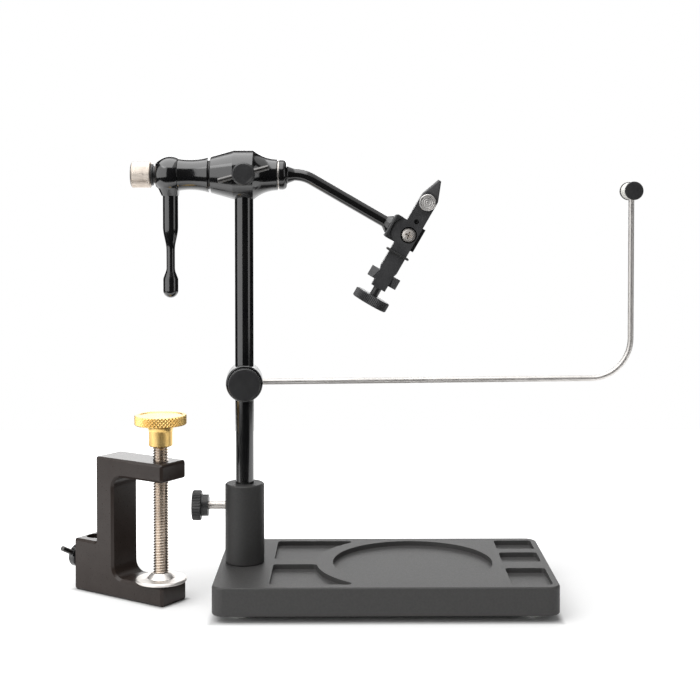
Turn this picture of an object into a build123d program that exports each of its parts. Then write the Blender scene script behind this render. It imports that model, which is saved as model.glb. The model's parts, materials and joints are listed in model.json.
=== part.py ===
from build123d import *
import os
from math import atan, cos, degrees, pi, radians, sin, sqrt, tan

# Fly tying vise on a pedestal, with a bobbin cradle and a separate table clamp.
# Millimetres. The stem's axis is Z, the table is Z = 0, the jaws point to +X and the front is -Y.

# Fits and gaps
running_gap = 0.05          # radial gap of what turns or slides in its hole
thread_gap = 0.03           # radial gap of a joint that stays put
face_gap = 0.1              # gap between flat faces that move past each other

# Pedestal base
base_width = 95.0
base_thickness = 14.2
base_corner_radius = 6.0
base_edge_round = 1.0
stem_to_base_edge = 12.8
foot_height = 3.3
foot_diameter = 11.5
foot_taper = 1.0
foot_inset = 13.0

# Trays milled into the base
tray_depth = 2.5
tray_corner_radius = 2.0
round_tray_rim = 6.2
round_tray_wall = 8.7       # between the round tray and the two side trays
side_tray_to_stem = 15.1
side_tray_root = 21.9       # from the side trays' left edge to the wall, on the middle line
side_tray_rib = 10.4        # between the two side trays
side_tray_rim = 5.9
end_tray_length = 20.1
end_tray_wall = 5.3         # between the round tray and the end trays
end_tray_rim = 3.3
end_tray_back_rim = 5.5
end_tray_front_rim = 5.0
end_tray_width = 18.0       # of the two small end trays
end_tray_ribs = (7.0, 12.2)

# Stem socket and stem
socket_diameter = 20.2
socket_height = 41.2
socket_floor = 8.0
socket_chamfer = 0.6
socket_bolt_diameter = 6.0
socket_bolt_grip = 6.0
socket_bolt_head_diameter = 10.0
socket_bolt_head_height = 6.0
socket_bolt_key = 5.0
socket_bolt_key_depth = 3.0
stem_diameter = 9.525
stem_length = 185.4
stem_chamfer = 0.5
stem_floor_gap = 0.5

# Thumbscrew of the stem socket
socket_screw_height = 29.6  # above the base
socket_screw_diameter = 4.0
socket_screw_bare_length = 8.6
socket_knob_boss_diameter = 11.1
socket_knob_boss_length = 3.6
socket_knob_diameter = 15.5
socket_knob_length = 4.6
socket_knob_teeth = 32
socket_knob_tooth_depth = 0.5

# Head housing, turned about the rotary axis
stem_top_to_axis = 6.6
housing_cone_length = 11.7
housing_band_length = 10.2
housing_flare_length = 12.3
housing_rear_diameter = 18.6
housing_band_diameter = 25.2
housing_nose_diameter = 15.9
housing_edge_round = 0.4
bush_length = 8.0
bush_wall = 1.45
shaft_diameter = 8.0
grub_screw_diameter = 4.0
grub_screw_below_axis = 9.4
grub_screw_sink = 0.3
grub_screw_key = 2.0
grub_screw_key_depth = 1.6

# Tommy-bar screws, one in the head and one in the table clamp
tommy_screw_diameter = 5.0
tommy_screw_stand_off = 1.2
tommy_head_diameter = 11.6
tommy_head_length = 4.4
tommy_head_round = 0.8
tommy_bar_diameter = 2.7
tommy_bar_length = 26.7
lock_screw_offset = 1.0     # towards the jaws from the stem's axis
lock_bar_tilt = 15.0
brake_pad_length = 2.4

# Rotary stack behind the housing
rear_washer_diameter = 14.8
rear_washer_thickness = 1.2
sleeve_length = 15.6
sleeve_front_diameter = 18.1
sleeve_waist_diameter = 15.4
sleeve_rear_diameter = 16.5
sleeve_waist_to_rear = 4.8
hub_ball_diameter = 18.8
hub_front_length = 4.1      # from the ball's centre to the sleeve
hub_rear_length = 7.2
hub_neck_root = 6.6         # from the ball's centre to where the neck starts
hub_neck_root_diameter = 12.8
hub_neck_diameter = 8.9
hub_neck_length = 1.4
handle_diameter = 7.8
handle_hub_depth = 3.1
handle_straight_length = 17.9
handle_taper_length = 8.2
handle_waist_diameter = 4.3
handle_waist_length = 12.0
handle_flare_length = 4.4
handle_grip_diameter = 7.7
handle_grip_length = 6.2
handle_taper_round = 20.0
handle_waist_round = 6.0
handle_grip_round = 4.0
shaft_tail_diameter = 5.0
spacer_neck_diameter = 8.8
spacer_neck_length = 1.5
spacer_rim_diameter = 11.0
spacer_rim_length = 0.8
shaft_knob_diameter = 13.3
shaft_knob_length = 10.3
shaft_knob_chamfer = 0.7
shaft_knob_teeth = 60
shaft_knob_tooth_depth = 0.2
shaft_knob_wall = 2.2       # of the knob's closed end

# Arm in front of the housing
thrust_washer_diameter = 14.6
thrust_washer_thickness = 0.8
arm_flange_diameter = 15.2
arm_flange_length = 3.8
arm_flange_round = 2.2
arm_cone_diameter = 9.0
arm_cone_length = 4.8
arm_cone_round = 1.2
arm_diameter = 6.0
arm_blend = 0.3             # how far a cone's thin end lies inside the arm
arm_lead = 12.6             # from the flange's rear face to the corner of the bend
arm_drop = 30.0             # degrees below the rotary axis
arm_bend_radius = 18.0
arm_reach = 62.0            # from the bend's corner to the jaw pivot
arm_flare_diameter = 10.0
arm_flare_length = 3.4
arm_block_width = 13.3
arm_block_back = 11.2
arm_block_front = 6.8
arm_seat_radius = 9.5
jaw_lobe_gap = 0.15         # between the jaws' round lobe and the arm's seat
jaw_lobe_width = 12.8
shaft_spigot_diameter = 5.0
shaft_spigot_length = 6.0

# Jaws: along the jaw, distances are from the pivot
jaw_width = 9.2
jaw_pair_depth = 9.8
jaw_pair_forward = 0.8      # the parting plane in front of the rotary axis
jaw_parting_gap = 0.1
jaw_tip_reach = 32.4
jaw_taper_length = 10.3
jaw_tip_width = 1.7
jaw_bevel_start = 23.9
jaw_tip_depth = 2.4
jaw_tail_reach = 31.3
jaw_tail_width = 7.8
jaw_tail_step = 20.4
jaw_tail_step_length = 2.0
jaw_end_lug_length = 2.4
jaw_lug_recess = 0.8
fulcrum_reach = 7.9
fulcrum_diameter = 2.0
fulcrum_hole_diameter = 2.5
fulcrum_depth = 2.6
rocker_diameter = 1.6       # the rib that the front jaw rocks on
pivot_screw_diameter = 3.0
pivot_screw_grip = 2.3      # in the arm
pivot_head_diameter = 7.3
pivot_head_length = 4.1
pivot_head_room = 0.6       # radial room round the screw's head
pivot_recess_width = 0.9
pivot_recess_length = 4.0
pivot_recess_depth = 1.2
size_screw_reach = 19.2
size_screw_diameter = 3.0
size_screw_room = 0.6
size_screw_depth = 3.2
size_head_diameter = 8.5
size_head_length = 1.7
size_head_rim = 0.8
size_head_dish = 0.4

# Jaw closing screw, its traveller and the rubber ring
traveller_reach = 25.2
traveller_width = 16.5
traveller_length = 5.6
traveller_half_web = 2.3
traveller_slope = 0.16
traveller_travel = 3.0
traveller_end_room = 0.5
traveller_ear_edge = 1.5
jaw_screw_diameter = 3.0
jaw_screw_pitch = 0.5
jaw_neck_diameter = 4.4
jaw_neck_length = 4.5
jaw_knob_diameter = 19.1
jaw_knob_length = 4.9
jaw_knob_chamfer = 0.5
jaw_knob_teeth = 64
jaw_knob_tooth_depth = 0.35
jaw_screw_in_knob = 3.6
ring_reach = 11.2
ring_wire = 1.2
ring_side_room = 0.65
ring_corner_radius = 0.8    # inside

# Bobbin cradle on the stem
cradle_height = 111.1
cradle_turn = 4.0           # degrees about the stem
collar_diameter = 18.8
collar_front = 8.5
collar_back = 9.5
collar_edge_round = 0.8
cradle_screw_diameter = 5.0
cradle_knob_diameter = 16.8
cradle_knob_length = 4.0
cradle_knob_teeth = 48
cradle_knob_tooth_depth = 0.3
cradle_knob_chamfer = 0.6
rod_diameter = 3.0
rod_reach = 203.3
rod_bend_radius = 21.0
rod_rise = 98.8             # from the collar's centre to the spool's centre
rod_stem_wall = 1.2
spool_diameter = 9.7
spool_length = 16.0
spool_flange = 1.8
spool_groove = 0.6
spool_turn = -5.0
spool_edge_round = 0.2

# Table clamp, standing beside the base
clamp_corner_x = -39.9
clamp_corner_y = -22.0
clamp_turn = 33.5           # degrees, from -X towards +Y
clamp_length = 61.4
clamp_thickness = 19.05
clamp_height = 72.0
clamp_lower_arm = 10.2
clamp_upper_arm = 9.3
clamp_spine = 12.2
clamp_boss_length = 15.6
clamp_boss_height = 27.2
clamp_throat_radius = 6.0
clamp_step_radius = 1.0
clamp_outer_radius = 1.5
clamp_edge_chamfer = 1.2
clamp_stem_hole = 9.62      # diameter, for the stem
clamp_hole_wall = 1.9
clamp_lock_height = 15.0
clamp_lock_stand_off = 4.0
clamp_bar_tilt = 28.0
clamp_screw_to_end = 8.9
clamp_screw_diameter = 7.9
clamp_screw_pitch = 1.41
clamp_screw_length = 73.7
clamp_screw_tip = 3.0       # the plain tip inside the pad
clamp_tip_diameter = 5.0
clamp_pad_diameter = 25.9
clamp_pad_rim = 1.6
clamp_pad_cone_diameter = 14.0
clamp_pad_neck_diameter = 9.6
clamp_pad_height = 4.6
clamp_knob_diameter = 26.6
clamp_knob_rim = 4.8
clamp_knob_hub_diameter = 12.2
clamp_knob_height = 15.8
clamp_knob_flare_radius = 3.6
clamp_knob_teeth = 72
clamp_knob_tooth_depth = 0.35
clamp_knob_chamfer = 0.7
clamp_screw_in_knob = 9.0

# Places that follow from the sizes
base_left = -stem_to_base_edge
base_bottom = foot_height
base_top = base_bottom + base_thickness
half_width = base_width / 2
round_tray_radius = half_width - round_tray_rim
round_tray_left = side_tray_to_stem + side_tray_root + round_tray_wall
round_tray_x = round_tray_left + round_tray_radius
end_tray_left = round_tray_x + round_tray_radius + end_tray_wall
end_tray_right = end_tray_left + end_tray_length
base_right = end_tray_right + end_tray_rim
base_length = base_right - base_left
socket_top = base_top + socket_height
stem_bottom = base_top + socket_floor + stem_floor_gap
stem_top = stem_bottom + stem_length
stem_radius = stem_diameter / 2
axis_height = stem_top + stem_top_to_axis
shaft_radius = shaft_diameter / 2
bush_radius = shaft_radius + running_gap + bush_wall

housing_band_front = housing_band_length / 2
housing_front = housing_band_front + housing_flare_length
housing_band_rear = -housing_band_length / 2
housing_rear = housing_band_rear - housing_cone_length

washer_rear = housing_front + face_gap
arm_rear = washer_rear + thrust_washer_thickness
rear_washer_front = housing_rear - face_gap
sleeve_front = rear_washer_front - rear_washer_thickness
sleeve_rear = sleeve_front - sleeve_length
hub_centre_x = sleeve_rear - hub_front_length
hub_rear = hub_centre_x - hub_rear_length
spacer_rear = hub_rear - spacer_neck_length - spacer_rim_length
knob_front = spacer_rear - face_gap
knob_rear = knob_front - shaft_knob_length
shaft_end = knob_rear + shaft_knob_wall

bend_x = arm_rear + arm_lead
pivot_x = bend_x + arm_reach * cos(radians(arm_drop))
pivot_z = axis_height - arm_reach * sin(radians(arm_drop))
arm_end = arm_reach + arm_block_front

jaw_half_depth = jaw_pair_depth / 2
jaw_half_gap = jaw_parting_gap / 2
seat_depth = jaw_half_depth + face_gap
traveller_low = -traveller_reach - traveller_length / 2
traveller_high = traveller_low + traveller_length
bay_top = traveller_high + traveller_travel + traveller_end_room
bay_rear = traveller_half_web + face_gap
lug_top = -jaw_tail_reach + jaw_end_lug_length
fulcrum_to_traveller = fulcrum_reach + traveller_reach
jaw_open_angle = degrees(atan(traveller_slope * traveller_travel / fulcrum_to_traveller))
jaw_opening_slope = tan(radians(jaw_open_angle))

cradle_knob_front = -collar_front - face_gap - cradle_knob_length

clamp_spine_back = clamp_length - clamp_boss_length
clamp_throat = clamp_spine_back - clamp_spine
clamp_middle = -clamp_thickness / 2
clamp_hole_place = clamp_length - clamp_hole_wall - clamp_stem_hole / 2
pad_bottom = clamp_lower_arm + face_gap
pad_top = pad_bottom + clamp_pad_height
clamp_thread_bottom = pad_top + face_gap
clamp_thread_top = clamp_thread_bottom + clamp_screw_length
clamp_knob_bottom = clamp_thread_top - clamp_screw_in_knob

# Frames that the pieces are made in
head_place = Pos(0, 0, axis_height)
arm_plane = Plane(
    origin=(bend_x, 0, axis_height),
    x_dir=(cos(radians(arm_drop)), 0, -sin(radians(arm_drop))),
    z_dir=(0, -1, 0),
)
jaw_plane = Plane(
    origin=(pivot_x, -jaw_pair_forward, pivot_z),
    x_dir=(cos(radians(arm_drop)), 0, -sin(radians(arm_drop))),
    z_dir=(0, -1, 0),
)
cradle_place = Pos(0, 0, cradle_height) * Rot(0, 0, cradle_turn)
clamp_plane = Plane(
    origin=(clamp_corner_x, clamp_corner_y, 0),
    x_dir=(-cos(radians(clamp_turn)), sin(radians(clamp_turn)), 0),
    z_dir=(0, 0, 1),
)
to_up = Rot(0, -90, 0)          # turns a piece made along +X to +Z
to_down = Rot(0, 90, 0)
to_front = Rot(0, 0, -90)
to_rear = Rot(0, 0, 90)
to_left = Rot(0, 0, 180)


def turned(points, rounds=None):
    # A solid of revolution about X, from (distance along X, radius) points.
    if rounds:
        outline = FilletPolyline(*points, radius=rounds)
    else:
        outline = Polyline(*points)
    closing = [points[-1]]
    if points[-1][1] > 0:
        closing.append((points[-1][0], 0))
    if points[0][1] > 0:
        closing.append((points[0][0], 0))
    closing.append(points[0])
    face = make_face(outline.edges() + Polyline(*closing).edges())
    return revolve(face, Axis.X)


def bar(start, end, diameter):
    # A plain round bar along X.
    return turned([(start, diameter / 2), (end, diameter / 2)])


def chamfered_bar(start, end, diameter, cut):
    radius = diameter / 2
    points = [(start, radius - cut), (start + cut, radius), (end - cut, radius), (end, radius - cut)]
    return turned(points)


def knurled_bar(start, end, diameter, cut, teeth, tooth_depth):
    # A chamfered bar along X with straight teeth round it.
    points = []
    for index in range(2 * teeth):
        radius = diameter / 2 - tooth_depth * (index % 2)
        angle = pi * index / teeth
        points.append((radius * cos(angle), radius * sin(angle)))
    star = extrude(make_face(Polyline(*points, close=True)), end - start)
    return (Pos(start, 0, 0) * Rot(0, 90, 0) * star) & chamfered_bar(start, end, diameter, cut)


def slab(low, high):
    # A box between two corners.
    size = [high[i] - low[i] for i in range(3)]
    middle = [(high[i] + low[i]) / 2 for i in range(3)]
    return Pos(*middle) * Box(*size)


def rectangle(low, high):
    middle = ((low[0] + high[0]) / 2, (low[1] + high[1]) / 2)
    return Pos(*middle) * Rectangle(high[0] - low[0], high[1] - low[1])


def base_plate():
    block = Box(base_length, base_width, base_thickness)
    block = fillet(block.edges().filter_by(Axis.Z), base_corner_radius)
    rims = block.faces().sort_by(Axis.Z)[-1].edges() + block.faces().sort_by(Axis.Z)[0].edges()
    block = fillet(rims, base_edge_round)
    block = Pos((base_left + base_right) / 2, 0, base_bottom + base_thickness / 2) * block

    round_tray = Pos(round_tray_x, 0) * Circle(round_tray_radius)
    trays = [round_tray]
    keep_out = Pos(round_tray_x, 0) * Circle(round_tray_radius + round_tray_wall)
    inner = side_tray_rib / 2
    outer = half_width - side_tray_rim
    for low, high in ((inner, outer), (-outer, -inner)):
        tray = rectangle((side_tray_to_stem, low), (round_tray_x, high)) - keep_out
        trays.append(fillet(tray.vertices(), tray_corner_radius))

    high = half_width - end_tray_back_rim
    for rib in end_tray_ribs:
        low = high - end_tray_width
        tray = rectangle((end_tray_left, low), (end_tray_right, high))
        trays.append(fillet(tray.vertices(), tray_corner_radius))
        high = low - rib
    tray = rectangle((end_tray_left, end_tray_front_rim - half_width), (end_tray_right, high))
    trays.append(fillet(tray.vertices(), tray_corner_radius))

    for tray in trays:
        block -= Pos(0, 0, base_top - tray_depth) * extrude(tray, tray_depth)

    shank_hole = bar(base_bottom, base_top, socket_bolt_diameter + 2 * thread_gap)
    head_hole = bar(
        base_bottom,
        base_bottom + socket_bolt_head_height + thread_gap,
        socket_bolt_head_diameter + 2 * thread_gap,
    )
    return block - to_up * (shank_hole + head_hole)


def rubber_feet():
    wide = foot_diameter / 2
    foot = to_up * turned([(0, wide - foot_taper), (foot_height / 2, wide), (foot_height, wide)])
    feet = []
    for x in (base_left + foot_inset, base_right - foot_inset):
        for y in (-half_width + foot_inset, half_width - foot_inset):
            feet.append(Pos(x, y, 0) * foot)
    feet.append(foot)
    return Part() + feet


def socket_bolt():
    head_top = base_bottom + socket_bolt_head_height
    head = bar(base_bottom, head_top, socket_bolt_head_diameter)
    shank = bar(head_top, base_top + socket_bolt_grip, socket_bolt_diameter)
    key = extrude(RegularPolygon(socket_bolt_key / 2, 6), socket_bolt_key_depth)
    return to_up * (head + shank) - Pos(0, 0, base_bottom) * key


def stem_socket():
    body = to_up * chamfered_bar(base_top, socket_top, socket_diameter, socket_chamfer)
    body -= to_up * bar(base_top + socket_floor, socket_top, stem_diameter + 2 * running_gap)
    body -= to_up * bar(base_top, base_top + socket_floor, socket_bolt_diameter + 2 * thread_gap)
    screw_hole = bar(0, socket_diameter, socket_screw_diameter + 2 * running_gap)
    return body - Pos(0, 0, base_top + socket_screw_height) * to_left * screw_hole


socket_screw_tip = stem_radius + face_gap
socket_boss_start = socket_diameter / 2 + socket_screw_bare_length
socket_disc_start = socket_boss_start + socket_knob_boss_length
socket_knob_end = socket_disc_start + socket_knob_length
socket_screw_end = socket_disc_start + socket_knob_length / 2


def place_socket_screw(piece):
    return Pos(0, 0, base_top + socket_screw_height) * to_left * piece


def socket_screw():
    return place_socket_screw(bar(socket_screw_tip, socket_screw_end, socket_screw_diameter))


def socket_screw_knob():
    boss = bar(socket_boss_start, socket_disc_start, socket_knob_boss_diameter)
    disc = knurled_bar(
        socket_disc_start,
        socket_knob_end,
        socket_knob_diameter,
        socket_knob_tooth_depth,
        socket_knob_teeth,
        socket_knob_tooth_depth,
    )
    hole = bar(socket_boss_start, socket_screw_end, socket_screw_diameter + 2 * thread_gap)
    return place_socket_screw(boss + disc - hole)


def stem():
    return to_up * chamfered_bar(stem_bottom, stem_top, stem_diameter, stem_chamfer)


def head_housing():
    band = housing_band_diameter / 2
    nose = housing_nose_diameter / 2
    drop = band - nose
    flare_radius = (housing_flare_length**2 + drop**2) / (2 * drop)
    half_turn = atan(housing_flare_length / (flare_radius - drop)) / 2
    flare_middle = (
        housing_front - flare_radius * sin(half_turn),
        nose + flare_radius * (1 - cos(half_turn)),
    )
    rear = (housing_rear, housing_rear_diameter / 2)
    front = (housing_front, nose)
    shoulder = (housing_band_front, band)
    outline = Polyline((housing_front, 0), (housing_rear, 0), rear, (housing_band_rear, band), shoulder)
    outline = outline.edges() + ThreePointArc(shoulder, flare_middle, front).edges()
    outline = outline + Line(front, (housing_front, 0)).edges()
    body = revolve(make_face(outline), Axis.X)
    body = fillet(body.edges().filter_by(GeomType.CIRCLE), housing_edge_round)
    body -= bar(housing_rear, housing_front, 2 * bush_radius)
    body = head_place * body
    body -= to_up * bar(stem_bottom, stem_top + thread_gap, stem_diameter + 2 * thread_gap)
    body -= place_lock_screw(bar(0, band, tommy_screw_diameter + 2 * running_gap))
    return body - grub_place * bar(0, band, grub_screw_diameter + 2 * thread_gap)


grub_place = Pos(0, 0, axis_height - grub_screw_below_axis) * to_rear
housing_half_width_at_grub = sqrt((housing_band_diameter / 2) ** 2 - grub_screw_below_axis**2)


def stem_grub_screw():
    end = housing_half_width_at_grub - grub_screw_sink
    key = Rot(0, -90, 0) * extrude(RegularPolygon(grub_screw_key / 2, 6), grub_screw_key_depth)
    return grub_place * (bar(stem_radius + thread_gap, end, grub_screw_diameter) - Pos(end, 0, 0) * key)


def bush(start):
    ring = bar(start, start + bush_length, 2 * bush_radius)
    return head_place * (ring - bar(start, start + bush_length, shaft_diameter + 2 * running_gap))


def place_lock_screw(piece):
    return Pos(lock_screw_offset, 0, axis_height) * to_front * piece


brake_pad_inner = shaft_radius + face_gap
brake_pad_outer = brake_pad_inner + brake_pad_length
lock_head_inner = housing_band_diameter / 2 + tommy_screw_stand_off


def brake_pad():
    return place_lock_screw(bar(brake_pad_inner, brake_pad_outer, tommy_screw_diameter))


def tommy_screw(tip, head_start):
    # A screw along +X whose head is cross-drilled for its bar.
    head_end = head_start + tommy_head_length
    shank = bar(tip, head_start, tommy_screw_diameter)
    edge = tommy_head_diameter / 2
    round_off = tommy_head_round
    points = [(head_start, edge - round_off), (head_start + round_off, edge)]
    points += [(head_end - round_off, edge), (head_end, edge - round_off)]
    hole = tommy_bar(head_start, tommy_bar_diameter + 2 * thread_gap)
    return shank + turned(points) - hole


def tommy_bar(head_start, diameter):
    rod = bar(-tommy_bar_length / 2, tommy_bar_length / 2, diameter)
    return Pos(head_start + tommy_head_length / 2, 0, 0) * Rot(0, 0, 90) * rod


def head_lock_screw():
    screw = tommy_screw(brake_pad_outer + face_gap, lock_head_inner)
    return place_lock_screw(Rot(lock_bar_tilt, 0, 0) * screw)


def head_lock_bar():
    return place_lock_screw(Rot(lock_bar_tilt, 0, 0) * tommy_bar(lock_head_inner, tommy_bar_diameter))


def main_shaft():
    journal = bar(hub_rear, arm_rear, shaft_diameter)
    spigot = bar(arm_rear, arm_rear + shaft_spigot_length, shaft_spigot_diameter)
    return head_place * (journal + spigot + bar(shaft_end, hub_rear, shaft_tail_diameter))


def ring_on_shaft(start, end, diameter):
    ring = bar(start, end, diameter)
    return head_place * (ring - bar(start, end, shaft_diameter + 2 * thread_gap))


def thrust_washer():
    return ring_on_shaft(washer_rear, arm_rear, thrust_washer_diameter)


def rear_washer():
    return ring_on_shaft(sleeve_front, rear_washer_front, rear_washer_diameter)


def rear_sleeve():
    waist_x = sleeve_rear + sleeve_waist_to_rear
    rear = (sleeve_rear, sleeve_rear_diameter / 2)
    waist = (waist_x, sleeve_waist_diameter / 2)
    front = (sleeve_front, sleeve_front_diameter / 2)
    outline = Polyline(front, (sleeve_front, 0), (sleeve_rear, 0), rear).edges()
    outline = outline + ThreePointArc(rear, waist, front).edges()
    body = revolve(make_face(outline), Axis.X)
    return head_place * (body - bar(sleeve_rear, sleeve_front, shaft_diameter + 2 * thread_gap))


def crank_hub():
    ball = Pos(hub_centre_x, 0, 0) * Sphere(hub_ball_diameter / 2)
    reach = hub_ball_diameter
    ball &= slab((hub_rear, -reach, -reach), (sleeve_rear, reach, reach))
    neck_end = hub_ball_diameter / 2 + hub_neck_length
    root = hub_neck_root_diameter / 2
    neck = turned([(0, root), (hub_neck_root, root), (neck_end, hub_neck_diameter / 2)])
    hub = ball + Pos(hub_centre_x, 0, 0) * to_down * neck
    hub &= slab((hub_rear, -reach, -reach), (sleeve_rear, reach, reach))
    hub -= bar(hub_rear, sleeve_rear, shaft_diameter + 2 * thread_gap)
    socket = bar(handle_top, neck_end, handle_diameter + 2 * thread_gap)
    return head_place * (hub - Pos(hub_centre_x, 0, 0) * to_down * socket)


handle_top = hub_ball_diameter / 2 + hub_neck_length - handle_hub_depth


def crank_handle():
    # Made along +X from the hub outwards, then turned to hang down.
    full = handle_diameter / 2
    waist = handle_waist_diameter / 2
    grip = handle_grip_diameter / 2
    straight_end = handle_top + handle_hub_depth + handle_straight_length
    waist_start = straight_end + handle_taper_length
    waist_end = waist_start + handle_waist_length
    grip_start = waist_end + handle_flare_length
    grip_end = grip_start + handle_grip_length
    points = [(handle_top, full), (straight_end, full), (waist_start, waist), (waist_end, waist)]
    points += [(grip_start, grip), (grip_end, grip)]
    rounds = [handle_taper_round, handle_taper_round, handle_waist_round, handle_grip_round]
    body = turned(points, rounds) + Pos(grip_end, 0, 0) * Sphere(grip)
    return head_place * (Pos(hub_centre_x, 0, 0) * to_down * body)


def knob_spacer():
    neck_end = hub_rear - spacer_neck_length
    body = bar(neck_end, hub_rear, spacer_neck_diameter) + bar(spacer_rear, neck_end, spacer_rim_diameter)
    return head_place * (body - bar(spacer_rear, hub_rear, shaft_tail_diameter + 2 * thread_gap))


def shaft_knob():
    body = knurled_bar(
        knob_rear,
        knob_front,
        shaft_knob_diameter,
        shaft_knob_chamfer,
        shaft_knob_teeth,
        shaft_knob_tooth_depth,
    )
    hole = bar(shaft_end - face_gap, knob_front, shaft_tail_diameter + 2 * running_gap)
    return head_place * (body - hole)


def rotary_arm():
    flange_end = arm_rear + arm_flange_length
    cone_end = flange_end + arm_cone_length
    points = [(arm_rear, arm_flange_diameter / 2), (flange_end, arm_flange_diameter / 2)]
    points += [(flange_end, arm_cone_diameter / 2), (cone_end, arm_diameter / 2 - arm_blend)]
    flange = turned(points, [arm_flange_round, arm_cone_round])
    path = FilletPolyline(
        (arm_rear + arm_flange_length / 2, 0, axis_height),
        (bend_x, 0, axis_height),
        (pivot_x, 0, pivot_z),
        radius=arm_bend_radius,
    )
    tube = sweep(Plane(origin=path @ 0, z_dir=path % 0) * Circle(arm_diameter / 2), path=path)
    block_start = arm_reach - arm_block_back
    flare_start = block_start - arm_flare_length
    points = [(flare_start, arm_diameter / 2 - arm_blend), (block_start, arm_flare_diameter / 2)]
    half = arm_block_width / 2
    block = turned(points) + slab((block_start, -half, -half), (arm_end, half, half))
    block = arm_plane.location * block

    seat = Pos(0, 0, -seat_depth) * extrude(Circle(arm_seat_radius), arm_block_width)
    beyond = slab((0, -arm_block_width, -seat_depth), (arm_end, arm_block_width, arm_block_width))
    screw_hole = to_up * bar(-arm_block_width, 0, pivot_screw_diameter + 2 * running_gap)
    cut = jaw_plane.location * (seat + beyond + screw_hole)
    spigot_end = arm_rear + shaft_spigot_length + thread_gap
    shaft_hole = bar(arm_rear, spigot_end, shaft_spigot_diameter + 2 * thread_gap)
    return head_place * flange + tube + block - cut - head_place * shaft_hole


def jaw_outline():
    half = jaw_width / 2
    tail = jaw_tail_width / 2
    tip = jaw_tip_width / 2
    right = [
        (tip, jaw_tip_reach),
        (half, jaw_tip_reach - jaw_taper_length),
        (half, -jaw_tail_step),
        (tail, -jaw_tail_step - jaw_tail_step_length),
        (tail, -jaw_tail_reach),
    ]
    left = [(-x, y) for x, y in reversed(right)]
    lobe_half = jaw_lobe_width / 2
    lobe = Circle(arm_seat_radius - jaw_lobe_gap)
    lobe &= rectangle((-arm_seat_radius, -lobe_half), (0, lobe_half))
    return make_face(Polyline(*right, *left, close=True)) + lobe


def jaw_section(points):
    # A bar across the jaw, from (distance along the jaw, height in front of the parting plane) points.
    face = make_face(Polyline(*points, close=True))
    return extrude(Plane.YZ * face, arm_seat_radius + jaw_width, both=True)


def jaw_tip_bevel(side):
    return [
        (jaw_tip_reach, side * jaw_tip_depth / 2),
        (jaw_bevel_start, side * jaw_half_depth),
    ]


def front_jaw():
    ramp_low = bay_rear
    ramp_high = ramp_low + traveller_slope * (bay_top - traveller_low)
    relief = jaw_half_gap + face_gap + jaw_opening_slope * (fulcrum_reach - bay_top)
    lug_recess = bay_rear + jaw_lug_recess
    points = [(jaw_tip_reach, jaw_half_gap)] + jaw_tip_bevel(1)
    points += [(-jaw_tail_reach, jaw_half_depth), (-jaw_tail_reach, lug_recess)]
    points += [(traveller_low, lug_recess), (traveller_low, ramp_low)]
    points += [(bay_top, ramp_high), (bay_top, relief), (fulcrum_reach, jaw_half_gap)]
    body = jaw_section(points) & extrude(jaw_outline(), jaw_half_depth)
    body += Pos(0, fulcrum_reach, 0) * bar(-jaw_width / 2, jaw_width / 2, rocker_diameter)
    holes = [
        (0, pivot_head_diameter + 2 * pivot_head_room),
        (fulcrum_reach, fulcrum_hole_diameter),
        (size_screw_reach, size_screw_diameter + 2 * size_screw_room),
    ]
    for reach, diameter in holes:
        body -= Pos(0, reach, 0) * to_up * bar(-rocker_diameter, jaw_half_depth, diameter)
    return jaw_plane.location * body


def rear_jaw():
    points = [(jaw_tip_reach, -jaw_half_gap)] + jaw_tip_bevel(-1)
    points += [(-jaw_tail_reach, -jaw_half_depth), (-jaw_tail_reach, traveller_half_web)]
    points += [(lug_top, traveller_half_web), (lug_top, -bay_rear), (bay_top, -bay_rear)]
    points += [(bay_top, -jaw_half_gap)]
    body = jaw_section(points) & extrude(jaw_outline(), jaw_half_depth, both=True)
    groove = bar(-jaw_width / 2, jaw_width / 2, rocker_diameter + 2 * running_gap)
    body -= Pos(0, fulcrum_reach, 0) * groove
    holes = [
        (0, pivot_screw_diameter, -jaw_half_depth),
        (fulcrum_reach, fulcrum_diameter, -fulcrum_depth),
        (size_screw_reach, size_screw_diameter, -jaw_half_gap - size_screw_depth),
    ]
    for reach, diameter, depth in holes:
        body -= Pos(0, reach, 0) * to_up * bar(depth, 0, diameter + 2 * thread_gap)
    journal = bar(-jaw_tail_reach, lug_top, jaw_screw_diameter + 2 * running_gap)
    return jaw_plane.location * (body - along_jaw * journal)


along_jaw = Rot(0, 0, 90)       # turns a piece made along +X to the jaw's length


def fulcrum_pin():
    pin = bar(-fulcrum_depth, fulcrum_depth, fulcrum_diameter)
    return jaw_plane.location * (Pos(0, fulcrum_reach, 0) * to_up * pin)


def jaw_pivot_screw():
    head_top = -jaw_half_gap + pivot_head_length
    shank = bar(-seat_depth - pivot_screw_grip, -jaw_half_gap, pivot_screw_diameter)
    screw = to_up * (shank + bar(-jaw_half_gap, head_top, pivot_head_diameter))
    for turn in (0, 90):
        slot = Box(pivot_recess_length, pivot_recess_width, 2 * pivot_recess_depth)
        screw -= Pos(0, 0, head_top) * Rot(0, 0, turn) * slot
    return jaw_plane.location * screw


def jaw_size_screw():
    # The head stands off the closed jaw by the distance that the jaw opens there.
    lift = jaw_opening_slope * (size_screw_reach + size_head_diameter / 2 - fulcrum_reach)
    head_bottom = jaw_half_depth + lift + face_gap
    head_top = head_bottom + size_head_length
    shank = bar(-jaw_half_gap - size_screw_depth, head_bottom, size_screw_diameter)
    head = bar(head_bottom, head_top, size_head_diameter)
    head -= bar(head_top - size_head_dish, head_top, size_head_diameter - 2 * size_head_rim)
    return jaw_plane.location * (Pos(0, size_screw_reach, 0) * to_up * (shank + head))


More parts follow.
